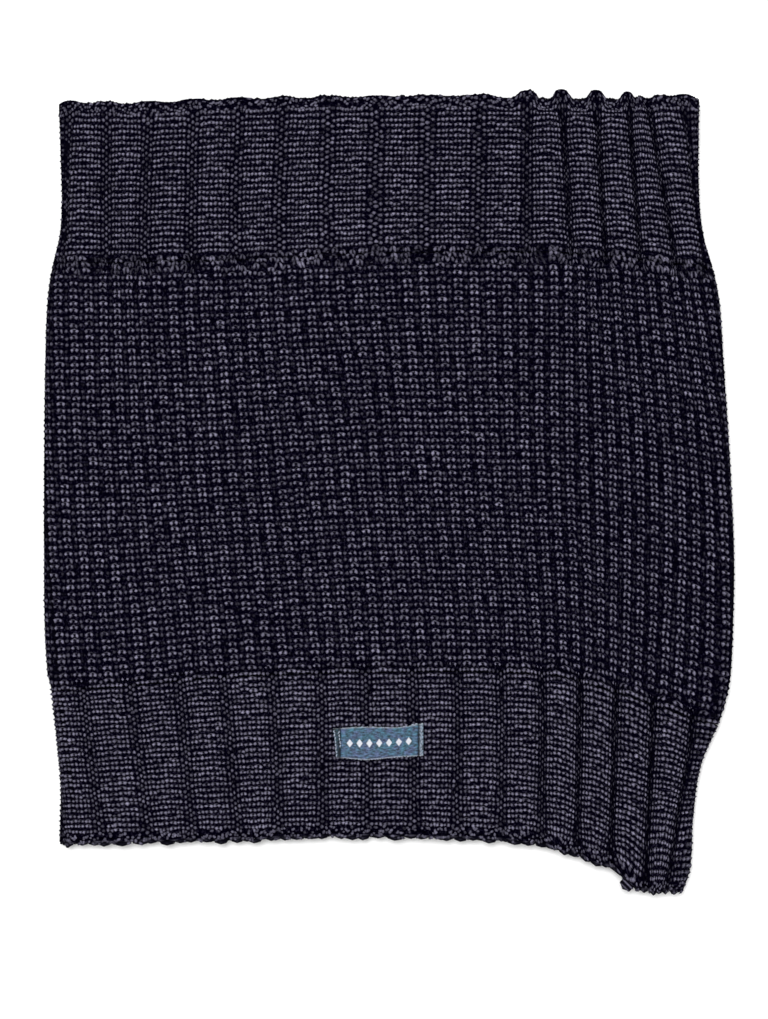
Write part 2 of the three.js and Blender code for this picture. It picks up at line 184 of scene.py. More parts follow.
def lay(rib, course, out):
    """Points of the lying tube, in millimetres. out is outwards from the fabric's middle."""
    rib, course, out = np.broadcast_arrays(rib, course, out)
    shape = rib.shape
    rib, course, out = (a.astype(float).ravel() for a in (rib, course, out))
    past_hem = np.maximum(np.maximum(LOWER_HEM - course, course - UPPER_HEM), 0) * BAND_ROW
    course = np.clip(course, LOWER_HEM, UPPER_HEM)
    from_hem = np.minimum(course, UPPER_HEM - course)
    at_hem = smooth(1 - from_hem / HEM_COURSES)
    shut = fold(rib, course, 0) * in_band(course) * (1 - HEM_OPENING * at_hem)
    left, width, half = loop(course)
    way = np.mod(way_along(rib + shut * np.sin(2 * np.pi * rib) / (2 * np.pi), course), 2 * half)
    front = way <= half
    reach = np.where(front, way, 2 * half - way)
    left_turn, right_turn = reach < QUARTER, reach > half - QUARTER
    angle = np.where(left_turn, reach / TURN_RADIUS, np.pi / 2)
    angle = np.where(right_turn, np.pi - (half - reach) / TURN_RADIUS, angle)
    x = TURN_RADIUS + reach - QUARTER
    x = np.where(left_turn, TURN_RADIUS * (1 - np.cos(angle)), x)
    x = np.where(right_turn, width - TURN_RADIUS * (1 + np.cos(angle)), x)
    across = np.clip(x / width, 0, 1)
    normal_x = -np.cos(angle)
    normal_z = np.where(front, 1, -1) * np.sin(angle)

    lines = np.array([curve(SHARES, line, across) for line in LINES])
    section = np.clip(np.searchsorted(LINE_COURSES, course, side="right") - 1, 0, len(LINE_COURSES) - 2)
    column = np.arange(len(course))
    line_below, line_above = lines[section, column], lines[section + 1, column]
    above_line, span = course - LINE_COURSES[section], np.diff(LINE_COURSES)[section]
    line = line_below + (line_above - line_below) * above_line / span
    low_end = course < (LOWER_JOIN + UPPER_JOIN) / 2
    end = np.where(low_end, -1, 1)
    lobe = np.tanh(LOBE * np.cos(2 * np.pi * rib)) / np.tanh(LOBE)
    standing = -fold(rib, course, 2) / 2 * lobe * smooth(1 - from_hem / LOBE_COURSES)
    past_step = smooth((across - STEP_SHARE) / STEP_WIDTH + 0.5)
    step = STEP_DROP * past_step * smooth(1 - from_hem / STEP_COURSES)
    y = line + end * (standing + past_hem) - np.where(low_end, step, 0)
    lift = LIFT_HEIGHT * np.exp(-(((across - LIFT_SHARE) / LIFT_WIDTH) ** 2))
    z = HEIGHT / 2 + (TURN_RADIUS + np.where(front, lift, 0) + out) * normal_z
    return np.stack([left + x + normal_x * out, y, np.maximum(z, 0)], axis=-1).reshape(*shape, 3)


def sunk(rib, course):
    """How far the purl grooves of the bands lie below the crests of the ribs."""
    return fold(rib, course, 1) * ((1 - np.cos(2 * np.pi * rib)) / 2) ** 2 * in_band(course)


def facing(rib, course):
    """1 where the fabric faces straight up or down, 0 on the folded edges."""
    return np.abs(lay(rib, course, 1)[..., 2] - lay(rib, course, 0)[..., 2])


# Waves round the tube, how far each shifts with every course, and where it starts.
WAVES = ((3, 0.05, 3.4), (7, 0.11, 5.4), (13, 0.19, 7.4), (24, 0.31, 9.4))


def uneven(rib, course):
    """A slow unevenness of hand-pulled cloth, from -1 to 1."""
    value = np.zeros(np.shape(rib))
    for waves, shift, start in WAVES:
        value += np.sin(2 * np.pi * waves * rib / RIBS + shift * course + start) / len(WAVES)
    return value


def put_in_scene(name, data):
    """A new object of the data, in the scene."""
    made = bpy.data.objects.new(name, data)
    bpy.context.scene.collection.objects.link(made)
    return made


def make_mesh(name, points, faces, material, attributes):
    """A joined mesh in metres that rides on the tube. faces is a list of index arrays."""
    mesh = bpy.data.meshes.new(name)
    mesh.vertices.add(len(points))
    mesh.vertices.foreach_set("co", (points / 1000).astype(np.float32).ravel())
    corners = np.concatenate([f.ravel() for f in faces]).astype(np.int32)
    totals = np.concatenate([np.full(len(f), f.shape[1]) for f in faces])
    mesh.loops.add(len(corners))
    mesh.loops.foreach_set("vertex_index", corners)
    mesh.polygons.add(len(totals))
    starts = np.concatenate([[0], np.cumsum(totals)[:-1]]).astype(np.int32)
    mesh.polygons.foreach_set("loop_start", starts)
    mesh.polygons.foreach_set("use_smooth", np.ones(len(totals), dtype=bool))
    for key, values in attributes.items():
        kind, field = ("FLOAT_VECTOR", "vector") if np.ndim(values) == 2 else ("FLOAT", "value")
        layer = mesh.attributes.new(key, kind, "POINT")
        layer.data.foreach_set(field, values.astype(np.float32).ravel())
    mesh.update(calc_edges=True)
    mesh.validate()
    mesh.materials.append(material)
    piece = put_in_scene(name, mesh)
    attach(piece, "root")
    return piece


def strand_faces(rings, sides, count):
    """Faces of count closed strands, each with a tip, its rings of points and another tip."""
    j = np.arange(sides)
    k = (j + 1) % sides
    last = 1 + rings * sides
    tips = [
        np.stack([np.zeros_like(j), 1 + k, 1 + j], 1),
        np.stack([np.full_like(j, last), last - sides + j, last - sides + k], 1),
    ]
    sleeves = [
        np.stack([1 + r * sides + j, 1 + r * sides + k, 1 + (r + 1) * sides + k, 1 + (r + 1) * sides + j], 1)
        for r in range(rings - 1)
    ]
    offset = np.arange(count)[:, None, None] * (last + 1)
    triangles = (np.concatenate(tips)[None] + offset).reshape(-1, 3)
    quads = (np.concatenate(sleeves)[None] + offset).reshape(-1, 4)
    return [triangles, quads]


# Millimetres to a rib where the fabric lies flat, and half the thickness of the yarn.
RIB_WIDTH = 17.6
YARN_HALF = 0.62
# How far the rows wander up and down, in courses.
SWAY = 0.12
# How much a rib's rows arch where its grooves are pulled shut, in millimetres.
ARCH = 0.9
# How much painted shade darkens the yarn for a millimetre of depth in a groove, and on a folded
# edge, where less light reaches it.
GROOVE_PAINTED_SHADE = 0.12
EDGE_PAINTED_SHADE = 0.5
# How unevenly the yarn lies, as a whole and along it: stitches, courses and millimetres.
DRIFT = (0.045, 0.065, 0.04)
WANDER = (0.030, 0.050, 0.07)
# How unevenly thick the yarn is, and how much its tone changes by the strand and along it.
SWELL = 0.07
STRAND_MOTTLE, ALONG_MOTTLE = 0.11, 0.13


def aimed(steps, aim):
    """Directions at the stations from the steps between them."""
    before = np.concatenate([steps[:, :1], steps], axis=1)
    after = np.concatenate([steps, steps[:, -1:]], axis=1)
    return before * aim + after * (1 - aim)


def strands(
    name, rib, course, path, half_width, half_height, sides, row, material, seed,
    rough=1.0, aim=0.5, level=0.12,
):
    """One strand of yarn for each pair of rib and course. path is its line: stitches across,
    courses up and height over the crest line, a row for each tip and ring. row is the height of
    a course, rough how unevenly the strands lie and level their tone."""
    random = np.random.default_rng(seed)
    count = len(rib)
    path = np.asarray(path, dtype=float)
    if path.ndim == 2:
        path = np.repeat(path[None], count, 0)
    stations = path.shape[1]
    rough = np.reshape(rough, (-1, 1, 1))
    line = path + rough * random.normal(size=(count, 1, 3)) * DRIFT
    line = line + rough * random.normal(size=(count, stations, 3)) * WANDER
    across = rib[:, None] + line[:, :, 0] * STITCH
    up = course[:, None] + line[:, :, 1] + SWAY * uneven(rib, course)[:, None]
    arch = fold(rib, course, 0) * in_band(course)
    up = up + (ARCH / row * arch)[:, None] * np.cos(2 * np.pi * across)
    high = line[:, :, 2]
    rings = stations - 2
    # The direction of the strand, and the one across it, on the flat fabric. aim is the share
    # of the stretch before a station in its direction there.
    aim = np.broadcast_to(aim, stations)
    run_x = aimed(np.diff(across, axis=1), aim) * RIB_WIDTH
    run_y = aimed(np.diff(up, axis=1), aim) * row
    length = np.hypot(run_x, run_y)
    side_rib = -run_y / length / RIB_WIDTH
    side_course = run_x / length / row
    turned = np.arange(sides) / sides
    theta = 2 * np.pi * turned + np.pi / 2
    swell = 1 + SWELL * random.normal(size=(count, rings))
    profile = np.asarray(half_width)[None, 1:-1] * swell
    shift = profile[:, :, None] * np.cos(theta)
    height = np.asarray(half_height)[None, 1:-1, None] * np.sin(theta) * np.ones_like(shift)
    ring_rib = across[:, 1:-1, None] - side_rib[:, 1:-1, None] * shift
    ring_course = up[:, 1:-1, None] - side_course[:, 1:-1, None] * shift
    ring_high = high[:, 1:-1, None] + height
    ring_along = np.broadcast_to(np.linspace(0, 1, stations)[None, 1:-1, None], ring_rib.shape)
    ring_round = np.broadcast_to(turned[None, None], ring_rib.shape)

    def collect(first, middle, last):
        return np.concatenate([first[:, None], middle.reshape(count, -1), last[:, None]], axis=1)

    all_rib = collect(across[:, 0], ring_rib, across[:, -1])
    all_course = collect(up[:, 0], ring_course, up[:, -1])
    all_high = collect(high[:, 0], ring_high, high[:, -1])
    along = collect(np.zeros(count), ring_along, np.ones(count))
    around = collect(np.zeros(count), ring_round, np.zeros(count))
    fall = sunk((rib[:, None] + all_rib) / 2, all_course)
    out = FACE - YARN_HALF - fall + all_high
    points = lay(all_rib, all_course, out).reshape(-1, 3)
    # Painted shade: darker yarn down in the grooves and on the folded edges.
    shade = GROOVE_PAINTED_SHADE * sunk(rib, course) + EDGE_PAINTED_SHADE * (1 - facing(rib, course))
    mottle_and_shade = (level - shade)[:, None] + STRAND_MOTTLE * random.normal(size=(count, 1))
    mottle_and_shade = mottle_and_shade + ALONG_MOTTLE * random.normal(size=(count, stations))
    tone = collect(mottle_and_shade[:, 0], np.repeat(mottle_and_shade[:, 1:-1], sides, axis=1), mottle_and_shade[:, -1]).ravel()
    strand = np.stack([along.ravel(), around.ravel(), np.repeat(random.random(count), all_rib.shape[1])], 1)
    attributes = {"tone": tone, "strand": strand, "depth": YARN_HALF - all_high.ravel()}
    return make_mesh(name, points, strand_faces(rings, sides, count), material, attributes)


# The yarn's material, and the helpers that build it.
class Value:
    """An output in a shader. What is reckoned with it becomes nodes of the shader."""

    def __init__(self, output):
        self.output = output

    def __add__(self, other):
        return reckon("ADD", self, other)

    def __sub__(self, other):
        return reckon("SUBTRACT", self, other)

    def __rsub__(self, other):
        return reckon("SUBTRACT", other, self)

    def __mul__(self, other):
        return reckon("MULTIPLY", self, other)

    def __truediv__(self, other):
        return reckon("DIVIDE", self, other)

    def __mod__(self, other):
        return reckon("MODULO", self, other)

    def __lt__(self, other):
        return reckon("LESS_THAN", self, other)

    def __abs__(self):
        return reckon("ABSOLUTE", self)


def node(tree, kind, values=None, **settings):
    """A new node with values on its inputs and with settings of its own."""
    made = tree.nodes.new(kind)
    for key, value in settings.items():
        setattr(made, key, value)
    for key, value in (values or {}).items():
        made.inputs[key].default_value = value
    return made


def link(value, socket):
    """Feeds a value or a plain number into a socket."""
    if isinstance(value, Value):
        socket.id_data.links.new(value.output, socket)
    else:
        socket.default_value = value


def reckon(operation, *values):
    """The result of an operation on values, some of which may be plain numbers."""
    tree = next(value.output.id_data for value in values if isinstance(value, Value))
    made = node(tree, "ShaderNodeMath", operation=operation)
    for value, socket in zip(values, made.inputs):
        link(value, socket)
    return Value(made.outputs[0])


def held(value):
    """A reckoned value, held between 0 and 1."""
    value.output.node.use_clamp = True
    return value


def mix(share, a, b):
    """The mix of two colours."""
    made = node(share.output.id_data, "ShaderNodeMix", data_type="RGBA")
    for value, i in ((share, 0), (a, 6), (b, 7)):
        link(value, made.inputs[i])
    return Value(made.outputs[2])


def noise(place, values, stretch=(1, 1, 1)):
    """A noise over a stretched place."""
    tree = place.output.id_data
    stretched = node(tree, "ShaderNodeMapping", {"Scale": stretch})
    link(place, stretched.inputs["Vector"])
    made = node(tree, "ShaderNodeTexNoise", values)
    link(Value(stretched.outputs[0]), made.inputs["Vector"])
    return Value(made.outputs[0])


def parts(place):
    """The three numbers of a vector."""
    made = node(place.output.id_data, "ShaderNodeSeparateXYZ")
    link(place, made.inputs[0])
    return [Value(output) for output in made.outputs]


def group(name, **inputs):
    """A new shader group with the named inputs, that puts out a Color and a Height: its tree, the
    values that come in and the sockets that they go out by."""
    tree = bpy.data.node_groups.new(name, "ShaderNodeTree")
    for label, kind in inputs.items():
        tree.interface.new_socket(name=label, in_out="INPUT", socket_type=f"NodeSocket{kind}")
    tree.interface.new_socket(name="Color", in_out="OUTPUT", socket_type="NodeSocketColor")
    tree.interface.new_socket(name="Height", in_out="OUTPUT", socket_type="NodeSocketFloat")
    group_in, group_out = tree.nodes.new("NodeGroupInput"), tree.nodes.new("NodeGroupOutput")
    return tree, {label: Value(group_in.outputs[label]) for label in inputs}, group_out.inputs


def make_material(name, look_group, vectors, numbers, values, bump, relief_depth, roughness, gloss, display):
    """A material with its look from a group. vectors and numbers name the mesh attributes that
    the group reads, each on an input of its own name. values are for the other inputs."""
    made = bpy.data.materials.new(name)
    made.use_nodes = True
    tree = made.node_tree
    shader = tree.nodes["Principled BSDF"]
    look = node(tree, "ShaderNodeGroup", node_tree=look_group)
    for key, value in values.items():
        look.inputs[key].default_value = value
    for keys, output in ((vectors, "Vector"), (numbers, "Fac")):
        for key in keys:
            reader = node(tree, "ShaderNodeAttribute", attribute_name=key)
            tree.links.new(reader.outputs[output], look.inputs[key.capitalize()])
    relief = node(tree, "ShaderNodeBump", {"Strength": bump, "Distance": relief_depth})
    tree.links.new(look.outputs["Height"], relief.inputs["Height"])
    tree.links.new(relief.outputs[0], shader.inputs["Normal"])
    tree.links.new(look.outputs["Color"], shader.inputs["Base Color"])
    shader.inputs["Roughness"].default_value = roughness
    shader.inputs["Specular IOR Level"].default_value = gloss
    made.diffuse_color = (*display, 1)
    return made


# Twisted yarn: two plies wound round each other, with fine fibres along them. Its colour goes
# from the light colour on the crests to the dark one with its depth below them, over Reach
# millimetres: painted shade down the sides of the stitches and between them.
PLY_TURNS, FIBRE_SCALE = 2.2, 5200.0
# How far plies and fibres stand up, how bright they are at least and how much more on top. On
# the plies this is painted shade between them; on the fibres it is their own uneven tone.
PLY_RELIEF, PLY_BASE, PLY_GAIN = 0.6, 0.75, 0.3
FIBRE_RELIEF, FIBRE_BASE, FIBRE_GAIN = 0.8, 0.65, 0.7
MIDDLE_TONE = 0.5  # how bright yarn of tone 0 is
twist, twist_in, twist_out = group(
    "yarn_twist", Strand="Vector", Tone="Float", Depth="Float", Light="Color", Dark="Color", Reach="Float"
)
along_strand, round_strand = parts(twist_in["Strand"])[:2]
ply = abs(reckon("SINE", (along_strand * PLY_TURNS + round_strand) * (4 * math.pi)))
object_place = Value(node(twist, "ShaderNodeTexCoord").outputs["Object"])
fibre = noise(object_place, {"Scale": FIBRE_SCALE, "Detail": 2.0, "Roughness": 0.6})
link(ply * PLY_RELIEF + fibre * FIBRE_RELIEF, twist_out["Height"])
unshaded_share = node(twist, "ShaderNodeMapRange", interpolation_type="SMOOTHSTEP")
link(1.0 - twist_in["Depth"] / twist_in["Reach"], unshaded_share.inputs[0])
tone_share = Value(unshaded_share.outputs[0]) * (twist_in["Tone"] + MIDDLE_TONE)
surface_share = (fibre * FIBRE_GAIN + FIBRE_BASE) * (ply * PLY_GAIN + PLY_BASE)
light_share = held(tone_share * surface_share)
link(mix(light_share, twist_in["Dark"], twist_in["Light"]), twist_out["Color"])


def yarn_material(name, light, dark, reach, roughness=0.8, bump=0.6):
    """A yarn: light is its colour at the top of a stitch, and dark its painted shade down between them."""
    colours = {"Light": (*light, 1), "Dark": (*dark, 1), "Reach": reach}
    return make_material(
        name, twist, ["strand"], ["tone", "depth"], colours,
        bump=bump, relief_depth=0.0002, roughness=roughness, gloss=0.03, display=light,
    )


# The yarn on its lit crests, and its near-black painted shade down between the stitches.
YARN_LIGHT = (0.270, 0.254, 0.355)
YARN_SHADOW = (0.0004, 0.0001, 0.0030)
yarn = yarn_material("navy_yarn", YARN_LIGHT, YARN_SHADOW, reach=1.0)

# The fabric behind the stitches. Its outer face shows dimly between them, row by row, as yarn
# darkened with painted shade, in speckles on a near-black painted shade. Its inner face shows the
# backs of the stitches as bumps, lighter on their tops and with painted shade between them.
ROW_CREST = 0.48  # where the bumps of a row are highest, in courses over its start
SPECKLES, SPECKLE_FLOOR, SPECKLE_CONTRAST = (3.2, 2.4, 1.0), 0.52, 5.0
BACKS_LIGHT = (0.05, 0.047, 0.066)
BETWEEN_LIGHT = (0.019, 0.017, 0.033)
backs, backs_in, backs_out = group(
    "stitch_backs", Stitches="Vector", Dark="Color", Light="Color", Between="Color", Shade="Float"
)
stitch_across, stitch_up, inner_share = parts(backs_in["Stitches"])
across_wave = abs(reckon("SINE", stitch_across * math.pi))
row_wave = abs(reckon("COSINE", (stitch_up - ROW_CREST) * math.pi))
bumps = across_wave * row_wave
link(bumps, backs_out["Height"])
speckle = noise(backs_in["Stitches"], {"Scale": 1.0, "Detail": 2.0, "Roughness": 0.6}, SPECKLES)
speckle_share = held((speckle - SPECKLE_FLOOR) * SPECKLE_CONTRAST)
# Painted shade: the outer face goes near black in the grooves and on the folded edges.
outer_share = held(held(1.0 - backs_in["Shade"]) * speckle_share)
outer_face = mix(outer_share, backs_in["Dark"], backs_in["Between"])
inner_face = mix(bumps, backs_in["Dark"], backs_in["Light"])
link(mix(inner_share, outer_face, inner_face), backs_out["Color"])
fabric = make_material(
    "navy_fabric", backs, ["stitches"], ["shade"],
    {"Dark": (*YARN_SHADOW, 1), "Light": (*BACKS_LIGHT, 1), "Between": (*BETWEEN_LIGHT, 1)},
    bump=0.8, relief_depth=0.0006, roughness=0.85, gloss=0.0, display=(0.02, 0.019, 0.028),
)

# How far the fabric's outer face lies below the crests, and on the folded edges, where it is
# also darkened with painted shade, as it is down in the grooves.
INSET, EDGE_INSET = 0.86, 0.35
TURNED_FROM = 0.7
SHELL_GROOVE_PAINTED_SHADE = 0.3
SHELL_COLUMNS = 384


def fabric_shell(name, replaced, courses, thickness):
    """The wall of fabric that the stitches stand on, closed at both ends."""
    rib = np.arange(SHELL_COLUMNS) * RIBS / SHELL_COLUMNS
    count = len(courses)
    section = np.concatenate([courses, courses[::-1]])
    shift = np.zeros(2 * count)
    shift[[0, -1]] = JOIN_GAP / 2
    shift[[count - 1, count]] = -JOIN_GAP / 2
    inner = np.arange(2 * count) >= count
    rib_grid, course_grid = np.meshgrid(rib, section, indexing="ij")
    flat = smooth(facing(rib_grid, course_grid) / TURNED_FROM)
    depth = sunk(rib_grid, course_grid)
    out = FACE - depth - np.where(inner[None], thickness, EDGE_INSET + (INSET - EDGE_INSET) * flat)
    points = lay(rib_grid, course_grid, out)
    points[..., 1] += shift
    index = np.arange(SHELL_COLUMNS * 2 * count).reshape(SHELL_COLUMNS, 2 * count)
    right = np.roll(index, -1, axis=0)
    faces = np.stack([index, right, np.roll(right, -1, axis=1), np.roll(index, -1, axis=1)], axis=-1)
    row_place = course_grid - SWAY * uneven(rib_grid, course_grid)
    stitches = np.stack([rib_grid / STITCH, row_place, np.broadcast_to(inner, rib_grid.shape)], -1)
    # Painted shade on the outer face, down in the grooves and on the folded edges.
    shade = np.clip(SHELL_GROOVE_PAINTED_SHADE * depth + 1 - flat, 0, 1)
    attributes = {"stitches": stitches.reshape(-1, 3), "shade": shade.ravel()}
    piece = make_mesh(name, points.reshape(-1, 3), [faces.reshape(-1, 4)], fabric, attributes)
    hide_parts(replaced)
    return piece


# A knit stitch shows its two legs, joined over the top. A purl stitch shows its head and,
# between two of them, the sinker that joins them. Rows are tip, rings and tip.
def knit_path(spread, bridge):
    """Stitches across from the stitch's middle, courses up, height over the crest line. bridge
    is the height of the yarn where it joins the two legs."""
    leg = np.array([(1.12, 0.0, -1.8), (1.10, 0.24, -0.50), (1.0, 0.53, 0.0), (0.80, 0.76, -0.42)])
    return np.vstack([leg * (-spread, 1, 1), [(0, 0.80, bridge)], (leg * (spread, 1, 1))[::-1]])


KNIT_WIDTH = (0, 0.58, 0.77, 0.64, 0.46, 0.64, 0.77, 0.58, 0)
KNIT_HEIGHT = (0, 0.49, 0.63, 0.54, 0.44, 0.54, 0.63, 0.49, 0)
KNIT_AIM = (0.5, 0.5, 0.5, 1.0, 0.5, 0.0, 0.5, 0.5, 0.5)
BACK_KNIT_WIDTH = (0, 0.62, 0.55, 0.62, 0)
PURL = np.array([
    (-0.52, 0.30, -1.5), (-0.22, 0.45, -0.42), (0, 0.49, 0.0), (0.22, 0.45, -0.42), (0.52, 0.30, -1.5),
])
SINKER = PURL * (1, -1, 1) + (0, 0.49, 0)
PURL_WIDTH = (0, 0.66, 0.76, 0.66, 0)
PURL_HEIGHT = (0, 0.50, 0.62, 0.50, 0)
BACK_PURL_WIDTH = (0, 0.60, 0.60, 0)
# Millimetres of the turn at a folded edge whose stitches are made as finely as the front ones.
TURN_REACH = 4
# Millimetres from the middle to where the ribs start to draw together over the purls, and over
# which they do, and how much painted shade darkens the purls there, under the closing ribs.
DRAWN_FROM, DRAWN_WIDTH, DRAWN_PAINTED_SHADE = 30, 50, 0.16
KNIT_TONE = 0.15
FRONT_ROUGH = 1.1


def is_front(rib, course):
    """Whether a stitch lies on the upper sheet or on a folded edge."""
    half = loop(course)[2]
    way = np.mod(way_along(rib, course) + TURN_REACH, 2 * half) - TURN_REACH
    return way <= half + TURN_REACH


def drawn_together(rib, course):
    """0 over most of the cloth, 1 on the right, where the ribs draw together over the purls."""
    return smooth((lay(rib, course, 0)[..., 0] - DRAWN_FROM) / DRAWN_WIDTH)


def knit_rows(prefix, places, first, end, rows, row, spread, bridge, seed, sinking=0.0, purl_tone=0.0):
    """All the stitches between two courses. places has those of the knit stitches, the purls and
    the sinkers in a rib, in stitches from its middle. sinking is how low the last two lie, and
    purl_tone their tone, which is painted shade on them when below 0."""
    made = []
    courses = first + (end - first) * np.arange(rows) / rows
    knit = knit_path(spread, bridge)
    purl = PURL - (0, 0, sinking)
    sinker = SINKER - (0, 0, sinking)
    kinds = (
        ("knit", knit, KNIT_WIDTH, KNIT_HEIGHT, KNIT_AIM, 4, knit[::2], BACK_KNIT_WIDTH, 4),
        ("purl", purl, PURL_WIDTH, PURL_HEIGHT, 0.5, 5, purl[[0, 1, 3, 4]], BACK_PURL_WIDTH, 3),
        ("sinker", sinker, PURL_WIDTH, PURL_HEIGHT, 0.5, 5, sinker[[0, 1, 3, 4]], BACK_PURL_WIDTH, 3),
    )
    for offsets, made_as in zip(places, kinds):
        kind, path, width, height, aim, sides, back_path, back_width, back_sides = made_as
        starts = np.concatenate([np.arange(RIBS) + offset * STITCH for offset in offsets])
        rib, course = (grid.ravel() for grid in np.meshgrid(starts, courses, indexing="ij"))
        front = is_front(rib, course)
        if kind == "knit":
            level = KNIT_TONE
        else:
            level = purl_tone - DRAWN_PAINTED_SHADE * drawn_together(rib[front], course[front])
        made.append(strands(
            f"{prefix}_{kind}_front", rib[front], course[front], path, width, height, sides,
            row, yarn, seed, FRONT_ROUGH, aim, level,
        ))
        made.append(strands(
            f"{prefix}_{kind}_back", rib[~front], course[~front], back_path, back_width, back_width,
            back_sides, row, yarn, seed + 1,
        ))
    return made


# The stitches of a rib, and the courses from a join to the middle of the gap in the fabric.
BAND_PLACES = ((-1.5, -0.5, 0.5, 1.5), (2.4, 3.6), (3.0,))
BAND_SPREAD, BAND_BRIDGE = 0.27, -0.58
JOIN_REACH = 0.75
BAND_SHELL_ROWS, BODY_SHELL_ROWS = 15, 27  # of points up the fabric
lower_courses = np.linspace(LOWER_HEM - 0.3, LOWER_JOIN - JOIN_REACH, BAND_SHELL_ROWS)
lower_band = fabric_shell("lower_band_fabric", "lower_rib_band", lower_courses, RIB_FABRIC)
lower_stitches = knit_rows(
    "lower_band", BAND_PLACES, LOWER_HEM + 1.1, LOWER_JOIN, rows=29, row=BAND_ROW,
    spread=BAND_SPREAD, bridge=BAND_BRIDGE, seed=11,
)

# The body.
# Knitted on from the lower band, a knit and a purl stitch by turns, so narrow ribs of two
# bright legs stand beside grooves with one small bump to a row. The same yarn as the bands.
BODY_ROW = 2.64
BODY_FABRIC = 3.6
BODY_PLACES = ((-1.5, 0.5, 2.5), (-2.5, -0.5, 1.5))
body_courses = np.linspace(LOWER_JOIN - JOIN_REACH, UPPER_JOIN + JOIN_REACH, BODY_SHELL_ROWS)
body = fabric_shell("body_fabric", "body", body_courses, BODY_FABRIC)
body_stitches = knit_rows(
    "body", BODY_PLACES, LOWER_JOIN, UPPER_JOIN - 1.1, rows=61, row=BODY_ROW, spread=0.34,
    bridge=-0.44, seed=31, sinking=0.05, purl_tone=-0.24,
)

# The join of the body and the upper band.
# Three courses of the same yarn where the stitches change from one kind of knitting to the
# other. Their loops are drawn out long, lean over and are of all sizes.
DRAWN_LOOP = np.array([
    (-1.0, -0.80, -1.5), (-0.98, -0.40, -0.40), (-0.88, 0.10, -0.02), (-0.55, 0.50, -0.30), (0, 0.64, -0.45),
    (0.55, 0.50, -0.30), (0.88, 0.10, -0.02), (0.98, -0.40, -0.40), (1.0, -0.80, -1.5),
])
DRAWN_YARN = (0, 0.44, 0.60, 0.48, 0.38, 0.48, 0.60, 0.44, 0)
SMALLEST_LOOP, LARGEST_LOOP = (0.20, 0.55, 1.0), (0.42, 0.95, 1.0)
# How unevenly they are spaced, lean and rise, their tone, and how uneven it is.
LOOP_SHUFFLE, LOOP_LEAN, LOOP_LIFT, LOOP_TONE, LOOP_MOTTLE = 0.3, 0.14, 0.15, -0.13, 0.12
STITCHES = RIBS * 6
random_join = np.random.default_rng(60)
join_loops = []
for name, over_join in (("join_loops_low", -0.65), ("join_loops_middle", 0.3), ("join_loops_high", 1.25)):
    shuffle = random_join.uniform(-LOOP_SHUFFLE, LOOP_SHUFFLE, STITCHES)
    loop_places = (np.arange(STITCHES) + shuffle) * STITCH
    loop_size = random_join.uniform(SMALLEST_LOOP, LARGEST_LOOP, (STITCHES, 3))
    loop_path = DRAWN_LOOP[None] * loop_size[:, None]
    loop_path[:, :, 0] += random_join.normal(0, LOOP_LEAN, (STITCHES, 1)) * loop_path[:, :, 1]
    loop_courses = UPPER_JOIN + over_join + LOOP_LIFT * random_join.normal(size=STITCHES)
    loop_level = random_join.normal(LOOP_TONE, LOOP_MOTTLE, STITCHES)
    join_loops.append(strands(
        name, loop_places, loop_courses, loop_path, DRAWN_YARN, DRAWN_YARN, 5, BODY_ROW, yarn,
        seed=61, rough=1.4, level=loop_level,
    ))

# The upper ribbed band.
# Knitted on from the body in the same ribs as the lower band. Its grooves are wide in the
# middle and pulled shut and deep towards the right, where the hem ripples.
upper_courses = np.linspace(UPPER_JOIN + JOIN_REACH, UPPER_HEM + 0.6, BAND_SHELL_ROWS)
upper_band = fabric_shell("upper_band_fabric", "upper_rib_band", upper_courses, RIB_FABRIC)
upper_stitches = knit_rows(
    "upper_band", BAND_PLACES, UPPER_JOIN + 1.95, UPPER_HEM - 1.2, rows=25, row=BAND_ROW,
    spread=BAND_SPREAD, bridge=BAND_BRIDGE, seed=51,
)

# The cast-off chain.
# The last row, bound off: two small loops over the hem for each stitch, and below them the
# stitches that they were drawn through, pulled askew. It closes the upper hem.
every_stitch = (np.arange(STITCHES) + 0.5) * STITCH
# The painted shade of this yarn reaches further below its crests, darkening the rims of the hems.
edge_yarn = yarn_material("edge_yarn", (0.225, 0.212, 0.297), (0.002, 0.0018, 0.005), reach=1.7)
CORD = (0, 0.46, 0.54, 0.46, 0)


def chain(name, places, courses, path, width, sides, seed, rough, level=0.12):
    """Loops of yarn along a hem, round the whole tube."""
    courses = np.broadcast_to(courses, places.shape)
    return strands(
        name, places, courses, path, width, width, sides, BAND_ROW, edge_yarn, seed, rough,
        level=level,
    )


STITCH_LENGTH = RIB_WIDTH * STITCH
PULLED_ALONG = np.array([-1, -0.6, 0, 0.6, 1])
PULLED_HEIGHT = np.array([-1.2, -0.2, 0, -0.2, -1.2])
# How unevenly they are spaced, turned, bent and sunk.
PULLED_SHUFFLE, PULLED_ASKEW, PULLED_BEND, PULLED_SINK = 0.4, 0.5, 0.5, (-0.4, 0.1)
RIM_FALL = 0.4  # how much lower a loop lies for each course past the rim


